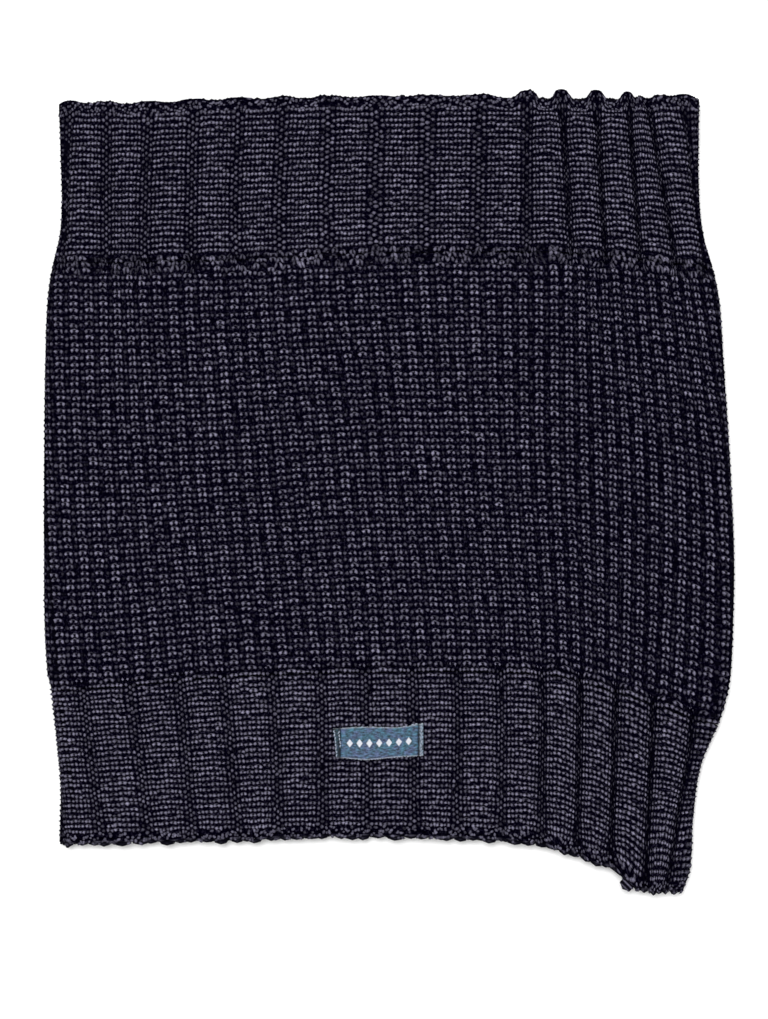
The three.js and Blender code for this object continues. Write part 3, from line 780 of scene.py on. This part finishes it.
def pulled_loops(name, count, courses, outwards, lengths, slant, seed):
    """Short bent pieces of the yarn that the hem is closed with, pulled askew between courses.
    outwards is 1 at the upper hem and -1 at the lower one, where they bend down round the rim."""
    random = np.random.default_rng(seed)
    shuffle = random.uniform(-PULLED_SHUFFLE, PULLED_SHUFFLE, count)
    places = (np.arange(count) + shuffle) * RIBS / count
    middle = random.uniform(*courses, count)
    half = random.uniform(*lengths, count)
    angle = random.normal(slant, PULLED_ASKEW, count) * random.choice([1, 1, -1], count)
    bend = random.uniform(-PULLED_BEND, PULLED_BEND, count)
    along = half[:, None] * PULLED_ALONG
    aside = (half * bend)[:, None] * (1 - PULLED_ALONG**2)
    x = along * np.cos(angle)[:, None] - aside * np.sin(angle)[:, None]
    y = along * np.sin(angle)[:, None] + aside * np.cos(angle)[:, None]
    up = middle[:, None] + y / BAND_ROW
    past = np.maximum((up - (UPPER_HEM if outwards > 0 else LOWER_HEM)) * outwards, 0)
    z = PULLED_HEIGHT + random.uniform(*PULLED_SINK, (count, 1)) - RIM_FALL * past
    path = np.stack([x / STITCH_LENGTH, y / BAND_ROW, z], axis=-1)
    return chain(name, places, middle, path, CORD, 5, seed + 1, 0.6, 0.05)


OVER_HEM = (
    (-0.50, 0.16, -2.7), (-0.28, 0.38, -2.1), (0, 0.50, -1.8), (0.28, 0.40, -2.1), (0.50, 0.20, -2.7),
)
half_stitches = np.arange(STITCHES * 2) * STITCH / 2
cast_off_rim = chain("cast_off_rim", half_stitches, UPPER_HEM, OVER_HEM, (0, 0.50, 0.58, 0.50, 0), 6, 71, 1.0)
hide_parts("cast_off_chain")
BOUND_LOOP = (
    (-0.50, -0.02, -1.5), (-0.30, 0.06, -0.8), (0, 0.16, -0.5), (0.30, 0.24, -0.8), (0.50, 0.28, -1.5),
)
cast_off_loops = chain("cast_off_loops", every_stitch, UPPER_HEM, BOUND_LOOP, CORD, 6, 72, 1.8, 0.3)
cast_off_pulled = pulled_loops(
    "cast_off_pulled", 900, (UPPER_HEM - 1.7, UPPER_HEM + 0.1), outwards=1, lengths=(0.55, 1.05),
    slant=1.0, seed=73,
)

# The cast-on chain.
# The first row: a thick, lumpy chain along the lower hem, with the loose loops of the first
# course pulled askew over it. Its end is knotted in where the hem steps down.
LUMPS = 104
LUMP_SHUFFLE, LUMP_DROP, LUMP_LENGTHS = 0.2, 0.12, (0.8, 1.15)  # how uneven they are
LUMP = (
    (-1.25, -0.10, -2.6), (-0.75, -0.50, -2.0), (0, -0.72, -1.7), (0.75, -0.55, -2.0), (1.25, -0.20, -2.6),
)
random_hem = np.random.default_rng(81)
lump_places = (np.arange(LUMPS) + LUMP_SHUFFLE * random_hem.normal(size=LUMPS)) * RIBS / LUMPS
lump_path = np.repeat(np.array(LUMP)[None], LUMPS, 0)
lump_path[:, :, 1] += LUMP_DROP * random_hem.normal(size=(LUMPS, 1))
lump_path[:, :, 0] *= random_hem.uniform(*LUMP_LENGTHS, size=(LUMPS, 1))
cast_on_rim = chain("cast_on_rim", lump_places, LOWER_HEM, lump_path, (0, 0.80, 0.98, 0.80, 0), 7, 82, 1.0)
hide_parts("cast_on_chain")
CORE_LOOP = (
    (-1.3, -0.10, -2.3), (-0.7, -0.25, -1.5), (0, -0.30, -1.1), (0.7, -0.25, -1.5), (1.3, -0.15, -2.3),
)
CORE_CORD = (0, 0.75, 0.85, 0.75, 0)
cast_on_core = chain("cast_on_core", every_stitch[::2], LOWER_HEM, CORE_LOOP, CORE_CORD, 6, 83, 1.0)
cast_on_pulled = pulled_loops(
    "cast_on_pulled", 960, (LOWER_HEM - 0.7, LOWER_HEM + 1.2), outwards=-1, lengths=(0.6, 1.2),
    slant=0.8, seed=84,
)

# The knot where the cast-on chain ends: a dark lump of yarn with three turns wound askew round
# it. Its middle, how thick the lump is, and how wide, thick, steep and far apart the turns are.
KNOT_MIDDLE = np.array([95.1, -155.6, 11.3])
KNOT_CORE = 2.75
KNOT_RADIUS, KNOT_YARN, KNOT_RISE, KNOT_PITCH, KNOT_ASKEW = 2.7, 0.34, 1.2, 1.7, math.radians(45)


def cords(name, lines, half, sides, tone, material):
    """Round cords along lines of points in millimetres, each with pointed ends."""
    run = np.gradient(lines, axis=1)
    run /= np.linalg.norm(run, axis=-1, keepdims=True)
    aside = np.cross(run, (0.0, 0.0, 1.0)) + 1e-6
    aside /= np.linalg.norm(aside, axis=-1, keepdims=True)
    over = np.cross(aside, run)
    turned = 2 * np.pi * np.arange(sides) / sides
    ring = aside[:, 1:-1, None] * (half * np.cos(turned))[:, None]
    ring = ring + over[:, 1:-1, None] * (half * np.sin(turned))[:, None]
    ring = (lines[:, 1:-1, None] + ring).reshape(len(lines), -1, 3)
    points = np.concatenate([lines[:, :1], ring, lines[:, -1:]], axis=1).reshape(-1, 3)
    rings = lines.shape[1] - 2
    shares = np.arange(1, rings + 1) / (rings + 1)
    along = np.tile(np.concatenate([[0], np.repeat(shares, sides), [1]]), len(lines))
    tones = np.repeat(tone, 2 + rings * sides)
    attributes = {"tone": tones, "depth": 0 * tones, "strand": np.stack([along, 0 * along, tones], -1)}
    return make_mesh(name, points, strand_faces(rings, sides, len(lines)), material, attributes)


knot_turn = np.radians(np.linspace(-40, 220, 13))
knot_axis = np.array([math.cos(KNOT_ASKEW), math.sin(KNOT_ASKEW), 0])
knot_across = np.array([math.sin(KNOT_ASKEW), -math.cos(KNOT_ASKEW), 0])
knot_up = np.array([0, 0, KNOT_RISE])
knot_round = np.cos(knot_turn)[:, None] * knot_across + np.sin(knot_turn)[:, None] * knot_up
knot_lines = np.array([
    KNOT_MIDDLE + KNOT_PITCH * turn_place * knot_axis + KNOT_RADIUS * scale * knot_round
    for turn_place, scale in ((-1, 0.85), (0, 1.0), (1, 0.9))
])
knot = cords("cast_on_knot", knot_lines, KNOT_YARN, 8, np.array([-0.20, 0.0, -0.25]), edge_yarn)
core_reach = KNOT_PITCH * np.array([-1.75, -0.95, 0, 0.95, 1.75])
core_line = KNOT_MIDDLE + core_reach[:, None] * knot_axis
knot_core = cords(
    "cast_on_knot_core", core_line[None], KNOT_CORE, 12, np.array([-0.5]), edge_yarn
)

# The label.
# A small strip of woven ribbon, slate blue with a satin face, its ends folded under and
# sewn through to the band. A row of small diamonds is woven along its middle.
LABEL_X, LABEL_Y, LABEL_LEVEL = -4.0, -99.1, HEIGHT + 0.62
LABEL_WIDTH, LABEL_HEIGHT, LABEL_THICK = 35.2, 12.3, 0.7
# Where its ends are turned under, and how wide and deep the folds are. The sewn ends lie lower.
LEFT_FOLD, RIGHT_FOLD, FOLD_WIDTH, FOLD_DEPTH, SEWN_DEPTH = -19.5, 11.8, 0.42, 0.42, 0.22
# How the strip lies: its right end is higher up the page, its left end leans, its lower edge
# sags, its height comes and goes along it, and so does the level of its face.
LABEL_RISE, LABEL_LEAN, LABEL_SAG, LABEL_SWELL, LABEL_WAVE = 1.4, 1.2, 0.35, 0.05, 0.10
SWELL_TURN, WAVE_TURN = 9, 21  # radians of the last two along the strip


def creased(x):
    """1 in the two folds across the label."""
    return sum(np.exp(-(((x - fold_x) / FOLD_WIDTH) ** 2)) for fold_x in (LEFT_FOLD, RIGHT_FOLD))


def left_end(x):
    """1 on the end that is sewn down on the left."""
    return smooth((LEFT_FOLD - x) / FOLD_WIDTH + 0.5)


def right_end(x):
    """1 on the end that is sewn down on the right."""
    return smooth((x - RIGHT_FOLD) / FOLD_WIDTH + 0.5)


def label_point(u, v, up):
    """A point of the label: u and v are shares along and up it, up is height over its back."""
    x = LABEL_X + (u - 0.5) * LABEL_WIDTH + LABEL_LEAN * (0.5 - v) * (1 - u) ** 3
    sewn = left_end(x) + right_end(x)
    level = LABEL_WAVE * np.sin(u * WAVE_TURN) * (1 - sewn) - FOLD_DEPTH * creased(x) - SEWN_DEPTH * sewn
    swell = 1 - LABEL_SWELL * np.cos(u * SWELL_TURN)
    y = LABEL_Y + (v - 0.5) * LABEL_HEIGHT * swell + LABEL_RISE * u**3
    y = y - LABEL_SAG * np.sin(np.pi * u) * (1 - v)
    return np.stack([x, y, LABEL_LEVEL + up + level], axis=-1)


# Its two blues by turns, with its pattern in a pale thread. Place is in millimetres from the
# label's middle, End is 1 on the faded right end, and Crease is 1 down in the folds and less on
# the sewn left end, where it paints shade.
ribbon, ribbon_in, ribbon_out = group(
    "woven_ribbon", Place="Vector", End="Float", Crease="Float", Upper="Color", Lower="Color",
    Faded="Color", Thread="Color",
)
across_label, up_label = parts(ribbon_in["Place"])[:2]


def shaded(colour, factor):
    """A colour made lighter or darker."""
    made = node(ribbon, "ShaderNodeVectorMath", operation="SCALE")
    link(colour, made.inputs[0])
    link(factor, made.inputs[3])
    return Value(made.outputs[0])


# The weft shows as fine lines along the ribbon, broken where its floats end, and its relief is
# also painted into the colour as shade. The yarn of the ribbon is slubby, and its two blues come
# and go in patches.
PICK_PITCH, FLOAT_PITCH, FLOAT_SLANT = 0.32, 0.9, 1.7
SLUB_STRETCH, SLUB_MIDDLE, SLUB_CONTRAST, DARKEST_SLUB = (0.6, 1.4, 1.0), 0.48, 8.0, 0.3
PATCH_FLOOR, PATCH_CONTRAST, UPWARDS = 0.38, 4.0, 0.03
PICK_RELIEF, FLOAT_RELIEF, WEAVE_PAINTED_SHADE = 0.6, 0.4, 0.10
picks = reckon("SINE", up_label * (2 * math.pi / PICK_PITCH))
slant = across_label + up_label * FLOAT_SLANT
floats = reckon("SINE", slant * (2 * math.pi / FLOAT_PITCH))
weave = picks * PICK_RELIEF + floats * FLOAT_RELIEF
link(weave, ribbon_out["Height"])
slub = noise(ribbon_in["Place"], {"Scale": 1.0, "Detail": 3.0, "Roughness": 0.75}, SLUB_STRETCH)
patch = noise(ribbon_in["Place"], {"Scale": 0.28, "Detail": 1.0})
upper_share = held(up_label * UPWARDS + (patch - PATCH_FLOOR) * PATCH_CONTRAST)
blues = mix(upper_share, ribbon_in["Lower"], ribbon_in["Upper"])
blues = mix(ribbon_in["End"], blues, ribbon_in["Faded"])
brightness = (slub - SLUB_MIDDLE) * SLUB_CONTRAST + weave * WEAVE_PAINTED_SHADE + 1.0
ground = shaded(blues, reckon("MAXIMUM", brightness, DARKEST_SLUB))

# A row of small woven diamonds along the middle: how many, how far apart, half their width,
# that over half their height, and where the middle one is. They are ragged and worn.
DIAMONDS, DIAMOND_PITCH, DIAMOND_HALF, DIAMOND_SLOPE, DIAMOND_MIDDLE = 7, 3.9, 1.2, 0.75, -3.9
RAGGED, WORN_BASE, WORN_GAIN = 0.12, 0.55, 0.6
half_row = DIAMONDS * DIAMOND_PITCH / 2
along_row = across_label + (half_row - DIAMOND_MIDDLE + LABEL_X)
in_cell = along_row % DIAMOND_PITCH - DIAMOND_PITCH / 2
ragged = abs(in_cell) + abs(up_label) * DIAMOND_SLOPE + picks * RAGGED
in_row = abs(along_row - half_row) < half_row
worn = held(slub * WORN_GAIN + WORN_BASE)
motif = (ragged < DIAMOND_HALF) * in_row * worn
# Its long edges are pale, unevenly, and its folds darkened with painted shade.
SELVEDGE, SELVEDGE_SLUB, SELVEDGE_SHARE = 0.6, 2.4, 0.55
CREASE_PAINTED_SHADE = 0.85
selvedge = abs(up_label) - (LABEL_HEIGHT / 2 - SELVEDGE)
selvedge = held(selvedge * (slub * SELVEDGE_SLUB))
edged = mix(selvedge * SELVEDGE_SHARE, ground, ribbon_in["Thread"])
patterned = mix(motif, edged, ribbon_in["Thread"])
darkened = shaded(patterned, held(1.0 - ribbon_in["Crease"] * CREASE_PAINTED_SHADE))
link(darkened, ribbon_out["Color"])
ribbon_blues = {
    "Upper": (0.026, 0.078, 0.114, 1), "Lower": (0.040, 0.060, 0.118, 1),
    "Faded": (0.095, 0.128, 0.168, 1), "Thread": (0.62, 0.63, 0.68, 1),
}
ribbon_material = make_material(
    "blue_ribbon", ribbon, ["place"], ["end", "crease"], ribbon_blues,
    bump=0.5, relief_depth=0.00008, roughness=0.5, gloss=0.25, display=(0.09, 0.15, 0.22),
)

# A face and a back of the same grid, joined by rims. The long edges are rounded and frayed, in
# shares of the label's half height and of its height.
LABEL_COLUMNS, LABEL_ROWS = 160, 26
EDGE_ROUND, FRAY, FRAYED_FROM = 0.06, 0.010, 0.96
ROUNDED = 0.97  # a full round would be 1
# The left end is darkened with painted shade, as the folds are.
LEFT_END_PAINTED_SHADE = 0.75  # how dark the left end is, beside the folds
grid_u, grid_v = np.meshgrid(np.linspace(0, 1, LABEL_COLUMNS), np.linspace(0, 1, LABEL_ROWS), indexing="ij")
random_label = np.random.default_rng(91)
near_edge = np.abs(grid_v - 0.5) * 2
fray = FRAY * random_label.normal(size=(LABEL_COLUMNS, 1)) * (near_edge > FRAYED_FROM)
into_edge = np.clip(near_edge - 1 + EDGE_ROUND, 0, EDGE_ROUND) / EDGE_ROUND
round_off = LABEL_THICK / 2 * (1 - np.sqrt(1 - into_edge**2 * ROUNDED))
label_top = label_point(grid_u, grid_v + fray, LABEL_THICK - round_off)
label_under = label_point(grid_u, grid_v + fray, round_off)
corner = np.arange(grid_u.size).reshape(grid_u.shape)
quads_top = np.stack([corner[:-1, :-1], corner[1:, :-1], corner[1:, 1:], corner[:-1, 1:]], -1).reshape(-1, 4)
quads_under = quads_top[:, ::-1] + grid_u.size


def rim(line):
    """The faces that join a line of the face to the one below it on the back."""
    return np.stack([line[1:], line[1:] + grid_u.size, line[:-1] + grid_u.size, line[:-1]], -1)


rims = np.concatenate([rim(corner[:, 0]), rim(corner[::-1, -1]), rim(corner[-1, :]), rim(corner[0, ::-1])])
label_x = label_top[..., 0]
label_place = np.stack([label_x - LABEL_X, (grid_v - 0.5) * LABEL_HEIGHT, 0 * grid_u], -1).reshape(-1, 3)
label = make_mesh(
    "label_ribbon", np.concatenate([label_top.reshape(-1, 3), label_under.reshape(-1, 3)]),
    [quads_top, quads_under, rims], ribbon_material,
    {
        "place": np.concatenate([label_place, label_place]),
        "end": np.tile(right_end(label_x).ravel(), 2),
        "crease": np.tile(np.clip(creased(label_x) + LEFT_END_PAINTED_SHADE * left_end(label_x), 0, 1).ravel(), 2),
    },
)
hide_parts("label")

# The stitches that hold its ends, in a pale thread: rows of them up the label, each at a share
# along it and between two shares up it, and three that lie along its upper edge.
THREAD_HALF, THREAD_ASKEW, THREAD_TONE, THREAD_MOTTLE = 0.26, 0.004, 0.6, 0.2
SEWN_LINES = ((0.010, 0.03, 0.97), (0.060, 0.35, 0.98), (0.975, 0.04, 0.96))
EDGE_STITCHES = ((0.880, 1.02), (0.900, 0.99), (0.920, 1.02))
STITCH_PITCH = 0.115
UP_STITCH = 0.9 * STITCH_PITCH * np.array([0.02, 0.18, 0.5, 0.82, 0.98])
ALONG_STITCH = np.array([-0.016, -0.008, 0.0, 0.008, 0.016])
OVER_LABEL = LABEL_THICK + np.array([-0.5, 0.12, 0.22, 0.12, -0.5])
OVER_EDGE = LABEL_THICK + np.array([-0.5, 0.1, 0.25, 0.1, -0.5])
thread_lines = []
for share, low, high in SEWN_LINES:
    for start in np.arange(low, high - STITCH_PITCH / 2, STITCH_PITCH):
        u = share + THREAD_ASKEW * random_label.normal(size=5)
        thread_lines.append(label_point(u, start + UP_STITCH, OVER_LABEL))
for share, up in EDGE_STITCHES:
    thread_lines.append(label_point(share + ALONG_STITCH, np.full(5, up), OVER_EDGE))
thread_lines = np.array(thread_lines)
thread_tones = THREAD_TONE + THREAD_MOTTLE * random_label.normal(size=len(thread_lines))
pale_thread = yarn_material(
    "pale_thread", (0.30, 0.34, 0.42), (0.10, 0.12, 0.16), reach=3.0, roughness=0.45, bump=0.3
)
label_threads = cords("label_threads", thread_lines, THREAD_HALF, 6, thread_tones, pale_thread)

# The size of the cloth.
# For each piece of fabric: how long a course is round the tube, and how high its courses are.
# Its stitches and loops are listed beside it.
lower_pieces = lower_stitches + [cast_on_rim, cast_on_core, cast_on_pulled, knot, knot_core]
upper_pieces = upper_stitches + [cast_off_rim, cast_off_loops, cast_off_pulled]
for piece, start, end, row, on_it in (
    (lower_band, LOWER_HEM, LOWER_JOIN, BAND_ROW, lower_pieces),
    (body, LOWER_JOIN, UPPER_JOIN, BODY_ROW, body_stitches + join_loops),
    (upper_band, UPPER_JOIN, UPPER_HEM, BAND_ROW, upper_pieces),
):
    round_tube = 2 * loop((start + end) / 2)[2] / 1000
    (end - start) * row / 1000

# The floor, the light and the camera.
# A plain pale surface under soft studio light from above. The camera looks straight down, as
# in the photo. All sizes from here on are in metres.
FLOOR, FLOOR_DROP = 3.0, 0.0002
floor_mesh = bpy.data.meshes.new("floor")
floor_mesh.from_pydata(
    [(-FLOOR, -FLOOR, 0), (FLOOR, -FLOOR, 0), (FLOOR, FLOOR, 0), (-FLOOR, FLOOR, 0)], [], [(0, 1, 2, 3)]
)
floor = put_in_scene("floor", floor_mesh)
floor.location.z = -FLOOR_DROP
floor_material = bpy.data.materials.new("white_floor")
floor_material.use_nodes = True
floor_shader = floor_material.node_tree.nodes["Principled BSDF"]
floor_shader.inputs["Base Color"].default_value = (0.92, 0.92, 0.92, 1)
floor_shader.inputs["Roughness"].default_value = 0.9
floor_mesh.materials.append(floor_material)

world = bpy.data.worlds.new("studio")
world.use_nodes = True
sky = world.node_tree.nodes["Background"]
sky.inputs["Color"].default_value = (1, 1, 1, 1)
sky.inputs["Strength"].default_value = 0.5
bpy.context.scene.world = world


def area_light(name, place, size, power):
    """A round light that faces the middle of the floor."""
    data = bpy.data.lights.new(name, "AREA")
    data.shape = "DISK"
    data.size = size
    data.energy = power
    lamp = put_in_scene(name, data)
    lamp.location = place
    lamp.rotation_euler = (-Vector(place)).to_track_quat("-Z", "Y").to_euler()


area_light("key", (-0.12, 0.22, 1.75), 0.45, 26)
area_light("fill", (0.5, -0.1, 1.7), 1.0, 5)

METRES_PER_PIXEL = 0.0004
PHOTO_HEIGHT = 1019  # pixels
LENS, SENSOR = 100.0, 36.0
CENTRE = (-0.002, -0.0064)  # what the middle of the photo shows
SHARP_HEIGHT = 0.0075  # the middle of the lying tube, where the scale holds
camera_data = bpy.data.cameras.new("camera")
camera_data.lens = LENS
camera_data.sensor_width = SENSOR
camera = put_in_scene("camera", camera_data)
distance = PHOTO_HEIGHT * METRES_PER_PIXEL * LENS / SENSOR
camera.location = (*CENTRE, distance + SHARP_HEIGHT)
bpy.context.scene.camera = camera
bpy.context.scene.view_settings.view_transform = "Standard"
